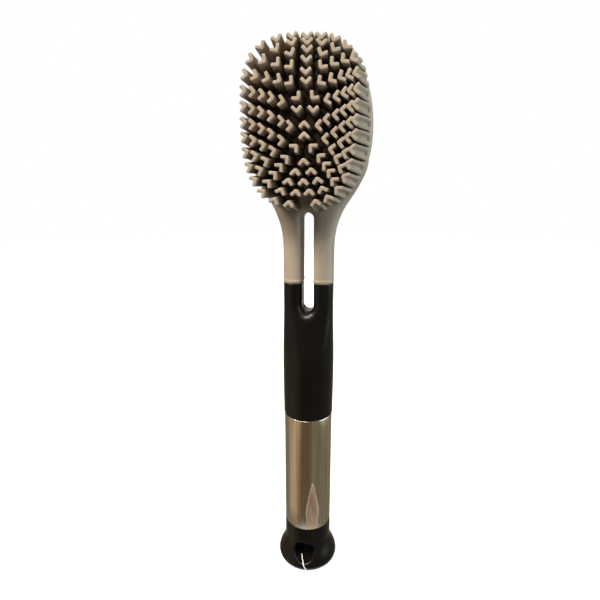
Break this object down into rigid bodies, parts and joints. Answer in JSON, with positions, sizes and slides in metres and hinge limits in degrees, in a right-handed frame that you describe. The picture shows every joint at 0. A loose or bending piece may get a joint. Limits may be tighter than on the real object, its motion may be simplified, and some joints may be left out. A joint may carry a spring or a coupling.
{
  "type": "dish wand",
  "caption": "Straight dish brush with an oval silicone head of V-shaped nubs, a slotted neck, a black grip, a polished steel sleeve and a flared end cap with a hanging hole.",
  "frame": {"origin": "centre of the hanging hole in the end cap, on the handle's axis", "axes": "+Z along the handle to the head, -Y the way the nubs point and one mouth of the hanging hole, +X to the right when the nubs face the viewer"},
  "size_m": [0.0576, 0.0362, 0.27],
  "materials": {
    "grip_plastic": "black nylon, satin",
    "silicone": "grey-beige silicone, soft satin",
    "nub_silicone": "grey-beige silicone, soft satin",
    "steel": "polished stainless with a worn patch",
    "cap_plastic": "black nylon, satin",
    "thread": "thin white nylon filament"
  },
  "bodies": {
    "root": {"handle_core": "grip_plastic", "head_jacket": "silicone", "nub_field": "nub_silicone", "steel_sleeve": "steel", "end_cap": "cap_plastic", "tag_thread": "thread"}
  },
  "joints": []
}
